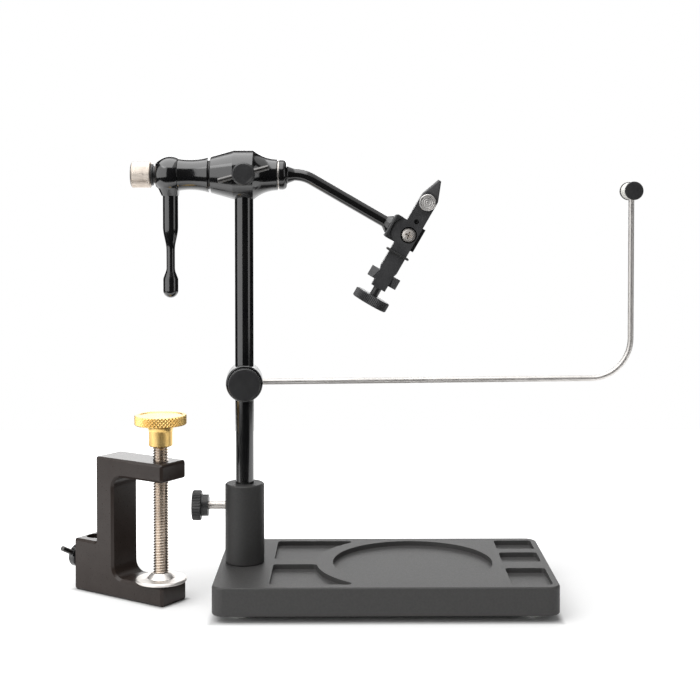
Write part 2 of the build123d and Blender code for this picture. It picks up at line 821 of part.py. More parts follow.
def jaw_ring():
    # A rubber ring round both jaws, square to their length.
    inner_x = jaw_width / 2 + ring_side_room + ring_wire / 2
    inner_z = jaw_half_depth + face_gap + ring_wire / 2
    outer_radius = ring_corner_radius + ring_wire
    outer = RectangleRounded(2 * inner_x + ring_wire, 2 * inner_z + ring_wire, outer_radius)
    inner = RectangleRounded(2 * inner_x - ring_wire, 2 * inner_z - ring_wire, ring_corner_radius)
    ring = extrude(Plane.XZ * (outer - inner), ring_wire / 2, both=True)
    return jaw_plane.location * (Pos(0, -ring_reach, 0) * ring)


def jaw_traveller():
    # The wedge between the jaw tails: a flat lens whose front face is a ramp.
    low = traveller_half_web
    high = low + traveller_slope * traveller_length
    edge = traveller_ear_edge
    half = traveller_width / 2
    flat = jaw_tail_width / 2
    points = [(half, -edge / 2), (half, edge / 2), (flat, high), (-flat, high)]
    points += [(-half, edge / 2), (-half, -edge / 2), (-flat, -low), (flat, -low)]
    body = extrude(Plane.XZ * make_face(Polyline(*points, close=True)), -traveller_length)
    body = Pos(0, traveller_low, 0) * body
    ramp = [(traveller_low, -low), (traveller_high, -low), (traveller_high, high), (traveller_low, low)]
    ramp = extrude(Plane.YZ * make_face(Polyline(*ramp, close=True)), traveller_width, both=True)
    body &= ramp
    hole = bar(traveller_low, traveller_high, jaw_screw_diameter + 2 * running_gap)
    return jaw_plane.location * (body - along_jaw * hole)


jaw_screw_top = bay_top - traveller_end_room / 2
jaw_neck_top = -jaw_tail_reach - face_gap
jaw_knob_top = jaw_neck_top - jaw_neck_length
jaw_knob_bottom = jaw_knob_top - jaw_knob_length


def jaw_screw():
    thread = bar(jaw_knob_top - jaw_screw_in_knob, jaw_screw_top, jaw_screw_diameter)
    neck = bar(jaw_knob_top, jaw_neck_top, jaw_neck_diameter)
    return jaw_plane.location * (along_jaw * (thread + neck))


def jaw_knob():
    body = knurled_bar(
        jaw_knob_bottom,
        jaw_knob_top,
        jaw_knob_diameter,
        jaw_knob_chamfer,
        jaw_knob_teeth,
        jaw_knob_tooth_depth,
    )
    hole = bar(jaw_knob_top - jaw_screw_in_knob, jaw_knob_top, jaw_screw_diameter + 2 * thread_gap)
    return jaw_plane.location * (along_jaw * (body - hole))


def cradle_collar():
    body = to_rear * bar(-collar_front, collar_back, collar_diameter)
    body = fillet(body.edges().filter_by(GeomType.CIRCLE), collar_edge_round)
    body -= to_up * bar(-collar_diameter, collar_diameter, stem_diameter + 2 * running_gap)
    body -= bar(0, collar_diameter, rod_diameter + 2 * thread_gap)
    body -= to_front * bar(0, collar_front, cradle_screw_diameter + 2 * running_gap)
    return cradle_place * body


def cradle_screw():
    end = collar_front + face_gap + cradle_knob_length / 2
    return cradle_place * (to_front * bar(stem_radius + face_gap, end, cradle_screw_diameter))


def cradle_knob():
    start = collar_front + face_gap
    body = knurled_bar(
        start,
        start + cradle_knob_length,
        cradle_knob_diameter,
        cradle_knob_chamfer,
        cradle_knob_teeth,
        cradle_knob_tooth_depth,
    )
    hole = bar(start, start + cradle_knob_length / 2, cradle_screw_diameter + 2 * thread_gap)
    return cradle_place * (to_front * (body - hole))


def cradle_rod():
    path = FilletPolyline(
        (stem_radius + rod_stem_wall, 0, 0),
        (rod_reach, 0, 0),
        (rod_reach, 0, rod_rise),
        radius=rod_bend_radius,
    )
    rod = sweep(Plane(origin=path @ 0, z_dir=path % 0) * Circle(rod_diameter / 2), path=path)
    return cradle_place * rod


def cradle_spool():
    rim = spool_diameter / 2
    core = rim - spool_groove
    end = spool_length / 2
    inner = end - spool_flange
    points = [(-end, rim), (-inner, rim), (-inner, core), (inner, core), (inner, rim), (end, rim)]
    body = turned(points)
    body = fillet(body.edges().filter_by(GeomType.CIRCLE), spool_edge_round)
    hole = to_down * bar(0, rim, rod_diameter + 2 * thread_gap)
    return cradle_place * Pos(rod_reach, 0, rod_rise) * Rot(0, 0, spool_turn) * (to_rear * body - hole)


def clamp_frame():
    top_arm_bottom = clamp_height - clamp_upper_arm
    corners = [
        ((0, 0), clamp_outer_radius),
        ((clamp_length, 0), clamp_outer_radius),
        ((clamp_length, clamp_boss_height), clamp_outer_radius),
        ((clamp_spine_back, clamp_boss_height), clamp_step_radius),
        ((clamp_spine_back, clamp_height), clamp_outer_radius),
        ((0, clamp_height), clamp_outer_radius),
        ((0, top_arm_bottom), clamp_outer_radius),
        ((clamp_throat, top_arm_bottom), clamp_throat_radius),
        ((clamp_throat, clamp_lower_arm), clamp_throat_radius),
        ((0, clamp_lower_arm), clamp_outer_radius),
    ]
    points = [point for point, radius in corners]
    radii = [radius for point, radius in corners]
    outline = FilletPolyline(*points, radius=radii, close=True)
    body = extrude(Plane.XZ * make_face(outline.edges()), clamp_thickness)
    sides = body.faces().filter_by(Axis.Y)
    body = chamfer(sides.edges(), clamp_edge_chamfer)
    stem_hole = bar(0, clamp_boss_height, clamp_stem_hole)
    body -= Pos(clamp_hole_place, clamp_middle, 0) * to_up * stem_hole
    screw_hole = bar(top_arm_bottom, clamp_height, clamp_screw_diameter + 2 * running_gap)
    body -= Pos(clamp_screw_to_end, clamp_middle, 0) * to_up * screw_hole
    lock_hole = bar(clamp_hole_place, clamp_length, tommy_screw_diameter + 2 * running_gap)
    body -= Pos(0, clamp_middle, clamp_lock_height) * lock_hole
    return clamp_plane.location * body


def place_clamp_screw(piece):
    return clamp_plane.location * (Pos(clamp_screw_to_end, clamp_middle, 0) * to_up * piece)


def clamp_screw():
    thread = bar(clamp_thread_bottom, clamp_thread_top, clamp_screw_diameter)
    return place_clamp_screw(thread + bar(pad_top - clamp_screw_tip, clamp_thread_bottom, clamp_tip_diameter))


def clamp_pad():
    rim_top = pad_bottom + clamp_pad_rim
    rim = clamp_pad_diameter / 2
    points = [(pad_bottom, rim), (rim_top, rim), (rim_top, clamp_pad_cone_diameter / 2)]
    points += [(pad_top, clamp_pad_neck_diameter / 2)]
    hole = bar(pad_top - clamp_screw_tip - face_gap, pad_top, clamp_tip_diameter + 2 * running_gap)
    return place_clamp_screw(turned(points) - hole)


def clamp_knob():
    top = clamp_knob_bottom + clamp_knob_height
    rim_bottom = top - clamp_knob_rim
    hub = clamp_knob_hub_diameter / 2
    flare = clamp_knob_flare_radius
    points = [(clamp_knob_bottom, hub), (rim_bottom, hub), (rim_bottom, hub + flare), (top, hub + flare)]
    body = turned(points)
    outline = Polyline((rim_bottom - flare, 0), (rim_bottom - flare, hub)).edges()
    curve = CenterArc((rim_bottom - flare, hub + flare), flare, 270, 90)
    outline = outline + curve.edges()
    outline = outline + Polyline((rim_bottom, hub + flare), (rim_bottom, 0), (rim_bottom - flare, 0)).edges()
    body += revolve(make_face(outline), Axis.X)
    body += knurled_bar(
        rim_bottom,
        top,
        clamp_knob_diameter,
        clamp_knob_chamfer,
        clamp_knob_teeth,
        clamp_knob_tooth_depth,
    )
    hole = bar(clamp_knob_bottom, clamp_thread_top, clamp_screw_diameter + 2 * thread_gap)
    return place_clamp_screw(body - hole)


clamp_lock_tip = clamp_hole_place + clamp_stem_hole / 2 + face_gap
clamp_lock_head = clamp_length + clamp_lock_stand_off


def place_clamp_lock(piece):
    return clamp_plane.location * (Pos(0, clamp_middle, clamp_lock_height) * Rot(clamp_bar_tilt, 0, 0) * piece)


def clamp_lock_screw():
    return place_clamp_lock(tommy_screw(clamp_lock_tip, clamp_lock_head))


def clamp_lock_bar():
    return place_clamp_lock(tommy_bar(clamp_lock_head, tommy_bar_diameter))


pieces = {
    "base_plate": base_plate(),
    "rubber_feet": rubber_feet(),
    "socket_bolt": socket_bolt(),
    "stem_socket": stem_socket(),
    "socket_screw": socket_screw(),
    "socket_screw_knob": socket_screw_knob(),
    "stem": stem(),
    "head_housing": head_housing(),
    "stem_grub_screw": stem_grub_screw(),
    "front_bush": bush(housing_front - bush_length),
    "rear_bush": bush(housing_rear),
    "brake_pad": brake_pad(),
    "head_lock_screw": head_lock_screw(),
    "head_lock_bar": head_lock_bar(),
    "main_shaft": main_shaft(),
    "thrust_washer": thrust_washer(),
    "rear_washer": rear_washer(),
    "rear_sleeve": rear_sleeve(),
    "crank_hub": crank_hub(),
    "crank_handle": crank_handle(),
    "knob_spacer": knob_spacer(),
    "shaft_knob": shaft_knob(),
    "rotary_arm": rotary_arm(),
    "front_jaw": front_jaw(),
    "rear_jaw": rear_jaw(),
    "fulcrum_pin": fulcrum_pin(),
    "jaw_pivot_screw": jaw_pivot_screw(),
    "jaw_size_screw": jaw_size_screw(),
    "jaw_ring": jaw_ring(),
    "jaw_traveller": jaw_traveller(),
    "jaw_screw": jaw_screw(),
    "jaw_knob": jaw_knob(),
    "cradle_collar": cradle_collar(),
    "cradle_screw": cradle_screw(),
    "cradle_knob": cradle_knob(),
    "cradle_rod": cradle_rod(),
    "cradle_spool": cradle_spool(),
    "clamp_frame": clamp_frame(),
    "clamp_screw": clamp_screw(),
    "clamp_pad": clamp_pad(),
    "clamp_knob": clamp_knob(),
    "clamp_lock_screw": clamp_lock_screw(),
    "clamp_lock_bar": clamp_lock_bar(),
}

os.makedirs("parts", exist_ok=True)
for name, piece in pieces.items():
    export_step(piece, "parts/" + name + ".step")
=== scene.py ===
import bpy
import json
import math
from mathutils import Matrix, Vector


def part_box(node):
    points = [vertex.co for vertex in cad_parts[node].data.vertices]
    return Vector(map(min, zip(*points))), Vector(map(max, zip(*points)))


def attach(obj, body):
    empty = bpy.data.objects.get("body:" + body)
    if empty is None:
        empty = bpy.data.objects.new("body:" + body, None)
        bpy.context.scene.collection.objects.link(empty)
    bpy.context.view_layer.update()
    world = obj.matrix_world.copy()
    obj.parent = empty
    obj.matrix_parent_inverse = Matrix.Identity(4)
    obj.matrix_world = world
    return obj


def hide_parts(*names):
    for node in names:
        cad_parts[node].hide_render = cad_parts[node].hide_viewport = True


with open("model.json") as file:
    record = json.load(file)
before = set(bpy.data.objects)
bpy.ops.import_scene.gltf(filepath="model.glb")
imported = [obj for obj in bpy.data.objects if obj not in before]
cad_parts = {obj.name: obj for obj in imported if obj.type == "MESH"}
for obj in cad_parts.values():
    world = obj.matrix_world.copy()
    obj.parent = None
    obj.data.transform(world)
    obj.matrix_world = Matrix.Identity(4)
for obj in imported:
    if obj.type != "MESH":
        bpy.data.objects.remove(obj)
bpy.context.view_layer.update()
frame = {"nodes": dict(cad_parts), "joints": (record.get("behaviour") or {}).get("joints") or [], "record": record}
mm = 0.001
sharpAngle = 38  # degrees: an edge that turns more is broken, and shaded crisp
flatAngle = 20  # the same for shading pieces with broad flat sides
mergeGap = 0.002 * mm
spinGap = 0.004 * mm

bodyOf = {}
for bodyName, nodeNames in frame["record"]["behaviour"]["bodies"].items():
    for nodeName in nodeNames:
        bodyOf[nodeName] = bodyName
jointOf = {joint["name"]: joint for joint in frame["joints"]}

up = Vector((0, 0, 1))
right = Vector((1, 0, 0))
front = Vector((0, -1, 0))
clampAxis = Vector(jointOf["clamp_screw_turn"]["pos_m"])
clampAxis.z = 0
headAxis = Vector((0, 0, jointOf["rotary_turn"]["pos_m"][2]))
jawForward = 0.8  # mm from the head's axis to the plane where the jaws part
jawLean = 30  # degrees that the jaws lean to the right
jawPivot = Vector(jointOf["jaw_pivot"]["pos_m"])
jawPivot.y = -jawForward * mm
jawAcross = Vector((math.cos(math.radians(jawLean)), 0, -math.sin(math.radians(jawLean))))
jawAlong = Vector((math.sin(math.radians(jawLean)), 0, math.cos(math.radians(jawLean))))
print("frame loaded,", len(frame["nodes"]), "nodes")


# Selecting and editing

def deselectAll():
    if bpy.context.object and bpy.context.object.mode != "OBJECT":
        bpy.ops.object.mode_set(mode="OBJECT")
    bpy.ops.object.select_all(action="DESELECT")


def pickObject(obj):
    deselectAll()
    obj.select_set(True)
    bpy.context.view_layer.objects.active = obj


def editAll(obj):
    pickObject(obj)
    bpy.ops.object.mode_set(mode="EDIT")
    bpy.ops.mesh.select_mode(type="VERT")
    bpy.ops.mesh.select_all(action="SELECT")


def pickVerts(obj, test):
    # leaves the object in edit mode with the vertices that pass the test
    pickObject(obj)
    bpy.ops.object.mode_set(mode="EDIT")
    bpy.ops.mesh.select_mode(type="VERT")
    bpy.ops.mesh.select_all(action="DESELECT")
    bpy.ops.object.mode_set(mode="OBJECT")
    for vert in obj.data.vertices:
        vert.select = bool(test(vert.co))
    bpy.ops.object.mode_set(mode="EDIT")


def leaveEdit():
    bpy.ops.object.mode_set(mode="OBJECT")


def applyModifier(obj, kind, settings):
    pickObject(obj)
    bpy.ops.object.modifier_add(type=kind)
    mod = obj.modifiers[-1]
    for key, value in settings.items():
        setattr(mod, key, value)
    bpy.ops.object.modifier_apply(modifier=mod.name)


def softenEdges(obj, width, segments):
    applyModifier(obj, "BEVEL", {
        "width": width * mm, "segments": segments, "limit_method": "ANGLE",
        "angle_limit": math.radians(sharpAngle), "use_clamp_overlap": True, "harden_normals": False,
    })


def smoothSides(obj, angle=sharpAngle):
    pickObject(obj)
    bpy.ops.object.shade_smooth_by_angle(angle=math.radians(angle))


def evenNormals(obj):
    # broad faces stay flat beside the small bevels
    applyModifier(obj, "WEIGHTED_NORMAL", {"keep_sharp": True, "weight": 100})


def settle(piece):
    # the place goes into the mesh, and the object to the origin
    pickObject(piece)
    bpy.ops.object.transform_apply(location=True, rotation=True, scale=True)


def closeSeams(gap):
    # works on what is selected in edit mode, and leaves it
    bpy.ops.mesh.remove_doubles(threshold=gap)
    bpy.ops.mesh.normals_make_consistent(inside=False)
    leaveEdit()


def dress(obj, nodeName, material):
    # the finished piece stands for a CAD node, on its body and in its slot
    obj.data.materials.clear()
    obj.data.materials.append(material)
    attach(obj, bodyOf[nodeName])
    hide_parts(nodeName)


# Shader helpers

def startMaterial(name):
    mat = bpy.data.materials.new(name)
    mat.use_nodes = True
    tree = mat.node_tree
    shader = tree.nodes["Principled BSDF"]
    coords = tree.nodes.new("ShaderNodeTexCoord")
    return mat, tree, shader, coords.outputs["Object"]


def setSockets(shader, values):
    for socket, value in values.items():
        shader.inputs[socket].default_value = value


def mapped(tree, coords, scale, turn=(0, 0, 0)):
    node = tree.nodes.new("ShaderNodeMapping")
    node.inputs["Rotation"].default_value = [math.radians(a) for a in turn]
    node.inputs["Scale"].default_value = scale
    tree.links.new(coords, node.inputs["Vector"])
    return node.outputs["Vector"]


def noise(tree, coords, scale, detail=3.0, rough=0.55):
    node = tree.nodes.new("ShaderNodeTexNoise")
    setSockets(node, {"Scale": scale, "Detail": detail, "Roughness": rough})
    tree.links.new(coords, node.inputs["Vector"])
    return node.outputs["Fac"]


def spread(tree, value, low, high, fromLow=0.3, fromHigh=0.7):
    node = tree.nodes.new("ShaderNodeMapRange")
    setSockets(node, {"From Min": fromLow, "From Max": fromHigh, "To Min": low, "To Max": high})
    tree.links.new(value, node.inputs["Value"])
    return node.outputs["Result"]


def tint(tree, value, dark, light, low=0.3, high=0.7):
    node = tree.nodes.new("ShaderNodeValToRGB")
    node.color_ramp.elements[0].position = low
    node.color_ramp.elements[1].position = high
    node.color_ramp.elements[0].color = (*dark, 1)
    node.color_ramp.elements[1].color = (*light, 1)
    tree.links.new(value, node.inputs["Fac"])
    return node.outputs["Color"]


def addBump(tree, shader, height, strength, distance):
    node = tree.nodes.new("ShaderNodeBump")
    setSockets(node, {"Strength": strength, "Distance": distance})
    tree.links.new(height, node.inputs["Height"])
    tree.links.new(node.outputs["Normal"], shader.inputs["Normal"])


def vectorStep(tree, operation, first, second):
    node = tree.nodes.new("ShaderNodeVectorMath")
    node.operation = operation
    tree.links.new(first, node.inputs[0])
    node.inputs[1].default_value = second
    return node.outputs


def mathStep(tree, operation, first, second):
    node = tree.nodes.new("ShaderNodeMath")
    node.operation = operation
    tree.links.new(first, node.inputs[0])
    tree.links.new(second, node.inputs[1])
    return node.outputs[0]


def edgeWearAndHighlight(tree, colour, wornAndLit, start=0.53, end=0.6):
    # paler where an edge stands proud: partly wear, partly a painted highlight along the edge
    geometry = tree.nodes.new("ShaderNodeNewGeometry")
    amount = spread(tree, geometry.outputs["Pointiness"], 0.0, 1.0, start, end)
    mix = tree.nodes.new("ShaderNodeMix")
    mix.data_type = "RGBA"
    tree.links.new(amount, mix.inputs["Factor"])
    tree.links.new(colour, mix.inputs["A"])
    mix.inputs["B"].default_value = (*wornAndLit, 1)
    return mix.outputs["Result"]


def shaded(colour, shade):
    return [part * shade for part in colour]


# Finishes

powderCoat = {
    "dark": (0.044, 0.0435, 0.043), "light": (0.052, 0.051, 0.050), "wornAndLit": (0.080, 0.078, 0.076),
    "grain": 1700, "grainDetail": 4, "grainRough": 0.6, "peel": 900, "peelDetail": 2,
    "roughLow": 0.48, "roughHigh": 0.6, "bump": 0.25, "bumpDeep": 0.12 * mm,
    "sockets": {"Specular IOR Level": 0.35},
}


def makePowderCoat(name, shade=1.0, wearAndHighlight=True):
    spec = powderCoat
    mat, tree, shader, coords = startMaterial(name)
    peel = noise(tree, coords, spec["peel"], spec["peelDetail"])
    grain = noise(tree, coords, spec["grain"], spec["grainDetail"], spec["grainRough"])
    colour = tint(tree, peel, shaded(spec["dark"], shade), shaded(spec["light"], shade))
    # proud edges made paler: wear, and a painted edge highlight
    if wearAndHighlight:
        colour = edgeWearAndHighlight(tree, colour, shaded(spec["wornAndLit"], shade))
    tree.links.new(colour, shader.inputs["Base Color"])
    rough = spread(tree, grain, spec["roughLow"], spec["roughHigh"])
    tree.links.new(rough, shader.inputs["Roughness"])
    addBump(tree, shader, grain, spec["bump"], spec["bumpDeep"])
    setSockets(shader, spec["sockets"])
    return mat


glossBlack = {
    "dark": (0.006, 0.006, 0.007), "light": (0.009, 0.009, 0.009), "roughLow": 0.12, "roughHigh": 0.17,
    "cloud": 90, "peel": 500, "peelDetail": 2, "bump": 0.03, "bumpDeep": 0.05 * mm,
    "sockets": {"Specular IOR Level": 0.8, "Coat Weight": 0.2, "Coat Roughness": 0.04},
}


def makeGlossBlack(name):
    spec = glossBlack
    mat, tree, shader, coords = startMaterial(name)
    cloud = noise(tree, coords, spec["cloud"])
    peel = noise(tree, coords, spec["peel"], spec["peelDetail"])
    tree.links.new(tint(tree, cloud, spec["dark"], spec["light"]), shader.inputs["Base Color"])
    rough = spread(tree, cloud, spec["roughLow"], spec["roughHigh"])
    tree.links.new(rough, shader.inputs["Roughness"])
    addBump(tree, shader, peel, spec["bump"], spec["bumpDeep"])
    setSockets(shader, spec["sockets"])
    return mat


satinBlack = {
    "dark": (0.018, 0.018, 0.019), "light": (0.028, 0.028, 0.029), "wornAndLit": (0.07, 0.07, 0.07),
    "grain": 1800, "cloud": 160, "roughLow": 0.34, "roughHigh": 0.48, "bump": 0.12, "bumpDeep": 0.08 * mm,
}


def makeSatinBlack(name, shade=1.0, wearAndHighlight=True):
    spec = satinBlack
    mat, tree, shader, coords = startMaterial(name)
    cloud = noise(tree, coords, spec["cloud"])
    grain = noise(tree, coords, spec["grain"])
    colour = tint(tree, cloud, shaded(spec["dark"], shade), shaded(spec["light"], shade))
    # proud edges made paler: wear, and a painted edge highlight
    if wearAndHighlight:
        colour = edgeWearAndHighlight(tree, colour, shaded(spec["wornAndLit"], shade))
    tree.links.new(colour, shader.inputs["Base Color"])
    rough = spread(tree, grain, spec["roughLow"], spec["roughHigh"])
    tree.links.new(rough, shader.inputs["Roughness"])
    addBump(tree, shader, grain, spec["bump"], spec["bumpDeep"])
    return mat


armFinish = {
    "gloss": (0.008, 0.008, 0.008), "satin": (0.020, 0.020, 0.021), "blockBack": 11.2, "blend": 0.1,
    "roughGloss": 0.14, "roughSatin": 0.42, "peel": 500, "peelDetail": 2, "bump": 0.03,
    "bumpDeep": 0.05 * mm, "sockets": {"Specular IOR Level": 0.7},
}


def makeArmBlack(name):
    # lacquered tube, with a satin block at the jaw end
    spec = armFinish
    mat, tree, shader, coords = startMaterial(name)
    along = vectorStep(tree, "DOT_PRODUCT", coords, jawAcross)["Value"]
    start = jawPivot.dot(jawAcross) - spec["blockBack"] * mm
    block = spread(tree, along, 0.0, 1.0, start - spec["blend"] * mm, start + spec["blend"] * mm)
    colour = tint(tree, block, spec["gloss"], spec["satin"], 0.0, 1.0)
    tree.links.new(colour, shader.inputs["Base Color"])
    rough = spread(tree, block, spec["roughGloss"], spec["roughSatin"], 0.0, 1.0)
    tree.links.new(rough, shader.inputs["Roughness"])
    peel = noise(tree, coords, spec["peel"], spec["peelDetail"])
    addBump(tree, shader, peel, spec["bump"], spec["bumpDeep"])
    setSockets(shader, spec["sockets"])
    return mat


clampCoat = {
    "dark": (0.026, 0.0185, 0.0155), "light": (0.032, 0.024, 0.0205), "grain": 1400, "cloud": 140,
    "roughLow": 0.27, "roughHigh": 0.31, "bump": 0.012, "bumpDeep": 0.06 * mm,
    "sockets": {"Specular IOR Level": 0.28},
}


def makeClampBlack(name):
    spec = clampCoat
    mat, tree, shader, coords = startMaterial(name)
    cloud = noise(tree, coords, spec["cloud"])
    grain = noise(tree, coords, spec["grain"])
    tree.links.new(tint(tree, cloud, spec["dark"], spec["light"]), shader.inputs["Base Color"])
    rough = spread(tree, grain, spec["roughLow"], spec["roughHigh"])
    tree.links.new(rough, shader.inputs["Roughness"])
    addBump(tree, shader, grain, spec["bump"], spec["bumpDeep"])
    setSockets(shader, spec["sockets"])
    return mat


turnedSteel = {
    "dark": (0.57, 0.555, 0.54), "light": (0.66, 0.645, 0.63), "cloud": 120, "markScale": 1.0,
    "markRough": 0.5, "roughSpread": 0.15, "bumpDeep": 0.06 * mm, "sockets": {"Metallic": 1.0},
}
steelFinishes = {
    "rodSteel": {"lines": (60, 1500, 1500), "rough": 0.5, "warm": 1.01, "turn": (0, 0, 4), "shade": 1.05},
    "lathedSteel": {"lines": (3000, 80, 80), "rough": 0.44, "warm": 1.03, "shade": 0.9},
    "knobSteel": {"lines": (1800, 60, 60), "rough": 0.42, "warm": 1.09, "shade": 0.98},
    "screwSteel": {"lines": (300, 300, 1500), "rough": 0.28, "warm": 1.11, "shade": 0.9},
    "faceSteel": {"lines": (300, 300, 300), "rough": 0.5, "shade": 1.1},
    "padSteel": {"lines": (200, 200, 200), "rough": 0.45, "warm": 1.02, "strength": 0.01, "shade": 1.3},
    "crossSteel": {"lines": (200, 200, 200), "rough": 0.5, "warm": 1.03, "strength": 0.01, "shade": 1.5},
    "barSteel": {"lines": (200, 200, 200), "rough": 0.34, "strength": 0.01, "shade": 0.19},
}


def makeTurnedSteel(name, lines, rough, warm=1.0, strength=0.03, turn=(0, 0, 0), shade=1.0):
    # lines: how finely the tool marks vary along each axis; warm: more red and less blue
    spec = turnedSteel
    mat, tree, shader, coords = startMaterial(name)
    marks = noise(tree, mapped(tree, coords, lines, turn), spec["markScale"], rough=spec["markRough"])
    cloud = noise(tree, coords, spec["cloud"])
    warmth = (warm, 1.0, 2.0 - warm)
    dark = [part * w * shade for part, w in zip(spec["dark"], warmth)]
    light = [part * w * shade for part, w in zip(spec["light"], warmth)]
    tree.links.new(tint(tree, cloud, dark, light), shader.inputs["Base Color"])
    vary = spec["roughSpread"]
    tree.links.new(spread(tree, marks, rough * (1 - vary), rough * (1 + vary)), shader.inputs["Roughness"])
    addBump(tree, shader, marks, strength, spec["bumpDeep"])
    setSockets(shader, spec["sockets"])
    return mat


yellowBrass = {
    "dark": (0.84, 0.55, 0.18), "light": (0.93, 0.66, 0.26), "roughLow": 0.32, "roughHigh": 0.42,
    "cloud": 130, "cloudDetail": 4, "lines": (60, 60, 5200), "markScale": 1.0, "bump": 0.03,
    "bumpDeep": 0.05 * mm, "sockets": {"Metallic": 1.0},
}


def makeBrass(name):
    spec = yellowBrass
    mat, tree, shader, coords = startMaterial(name)
    cloud = noise(tree, coords, spec["cloud"], spec["cloudDetail"])
    marks = noise(tree, mapped(tree, coords, spec["lines"]), spec["markScale"])
    tree.links.new(tint(tree, cloud, spec["dark"], spec["light"]), shader.inputs["Base Color"])
    rough = spread(tree, marks, spec["roughLow"], spec["roughHigh"])
    tree.links.new(rough, shader.inputs["Roughness"])
    addBump(tree, shader, marks, spec["bump"], spec["bumpDeep"])
    setSockets(shader, spec["sockets"])
    return mat


mottledFinishes = {
    "bushBronze": {"dark": (0.30, 0.17, 0.07), "light": (0.46, 0.29, 0.13), "cloud": 500, "detail": 4,
                   "roughLow": 0.3, "roughHigh": 0.5, "bump": 0.0, "sockets": {"Metallic": 1.0}},
    "ringRubber": {"dark": (0.012, 0.012, 0.012), "light": (0.03, 0.03, 0.03), "cloud": 900, "detail": 3,
                   "roughLow": 0.5, "roughHigh": 0.7, "bump": 0.15, "bumpDeep": 0.06 * mm, "sockets": {}},
    "footRubber": {"dark": (0.74, 0.74, 0.72), "light": (0.9, 0.9, 0.88), "cloud": 260, "detail": 3,
                   "roughLow": 0.16, "roughHigh": 0.3, "bump": 0.0,
                   "sockets": {"Transmission Weight": 0.25, "IOR": 1.45}},
    "padNylon": {"dark": (0.68, 0.67, 0.62), "light": (0.8, 0.79, 0.74), "cloud": 400, "detail": 3,
                 "roughLow": 0.4, "roughHigh": 0.55, "bump": 0.0, "sockets": {}},
}


def makeMottled(name, spec):
    mat, tree, shader, coords = startMaterial(name)
    cloud = noise(tree, coords, spec["cloud"], spec["detail"])
    tree.links.new(tint(tree, cloud, spec["dark"], spec["light"]), shader.inputs["Base Color"])
    rough = spread(tree, cloud, spec["roughLow"], spec["roughHigh"])
    tree.links.new(rough, shader.inputs["Roughness"])
    if spec["bump"]:
        addBump(tree, shader, cloud, spec["bump"], spec["bumpDeep"])
    setSockets(shader, spec["sockets"])
    return mat


baseCoat = makePowderCoat("baseCoat", wearAndHighlight=False)
socketCoat = makePowderCoat("socketCoat", shade=0.66)
stemLacquer = makeGlossBlack("stemLacquer")
knobBlack = makeSatinBlack("knobBlack")
lockBlack = makeSatinBlack("lockBlack", shade=1.05)
jawBlack = makeSatinBlack("jawBlack", shade=1.85, wearAndHighlight=False)
spoolBlack = makeSatinBlack("spoolBlack", shade=1.3)
armBlack = makeArmBlack("armBlack")
clampBlack = makeClampBlack("clampBlack")
clampBrass = makeBrass("clampBrass")
steel = {name: makeTurnedSteel(name, **spec) for name, spec in steelFinishes.items()}
mottled = {name: makeMottled(name, spec) for name, spec in mottledFinishes.items()}
print("finishes made,", len(bpy.data.materials))

# CAD nodes that keep their shape: a merged copy with broken edges and smooth sides.
# Each has the width of its broken edges in mm, their steps, and a finish.

fineCopies = {
    "base_plate": (0.3, 2, baseCoat), "rubber_feet": (0.5, 3, mottled["footRubber"]),
    "stem_socket": (0.3, 2, socketCoat), "socket_screw": (0.15, 2, steel["lathedSteel"]),
    "socket_screw_knob": (0.18, 2, knobBlack), "stem": (0.2, 2, stemLacquer),
    "head_housing": (0.3, 3, stemLacquer), "head_lock_screw": (0.3, 2, lockBlack),
    "head_lock_bar": (0.45, 3, steel["barSteel"]), "thrust_washer": (0.15, 2, steel["lathedSteel"]),
    "rear_washer": (0.2, 2, knobBlack), "rear_sleeve": (0.3, 3, stemLacquer),
    "crank_hub": (0.3, 3, stemLacquer), "crank_handle": (0.2, 2, stemLacquer),
    "knob_spacer": (0.15, 2, knobBlack), "rotary_arm": (0.25, 2, armBlack),
    "front_jaw": (0.25, 2, jawBlack), "rear_jaw": (0.25, 2, jawBlack),
    "jaw_traveller": (0.25, 2, jawBlack), "jaw_screw": (0.15, 2, knobBlack),
    "jaw_knob": (0.14, 2, jawBlack), "cradle_collar": (0.35, 3, stemLacquer),
    "cradle_knob": (0.14, 2, knobBlack), "cradle_rod": (0.3, 2, steel["rodSteel"]),
    "clamp_frame": (0.5, 3, clampBlack), "clamp_lock_screw": (0.3, 2, stemLacquer),
    "clamp_lock_bar": (0.45, 3, steel["barSteel"]),
}
flatSided = {"base_plate", "rotary_arm", "front_jaw", "rear_jaw", "jaw_traveller", "clamp_frame"}
coplanarAngle = 0.6  # degrees: faces that turn less become one


def copyNode(nodeName):
    source = frame["nodes"][nodeName]
    piece = bpy.data.objects.new(nodeName + "Fine", source.data.copy())
    bpy.context.scene.collection.objects.link(piece)
    editAll(piece)
    bpy.ops.mesh.remove_doubles(threshold=mergeGap)
    bpy.ops.mesh.dissolve_limited(angle_limit=math.radians(coplanarAngle))
    leaveEdit()
    return piece


def roundPicked(size, steps):
    bpy.ops.mesh.bevel(offset=size * mm, segments=steps, affect="EDGES", clamp_overlap=True)
    leaveEdit()


jawTip = {"taperFrom": 21.9, "front": 1.0, "facet": 1.3, "steps": 3}


def facetJawTip(piece):
    # the front edges of the tapered end are ground off
    def onTaper(co):
        arm = co - jawPivot
        return arm.dot(jawAlong) > jawTip["taperFrom"] * mm and arm.dot(front) > jawTip["front"] * mm

    pickVerts(piece, onTaper)
    roundPicked(jawTip["facet"], jawTip["steps"])


armCorner = {"back": armFinish["blockBack"], "half": 6.65, "near": 0.2, "round": 2.0, "steps": 5}


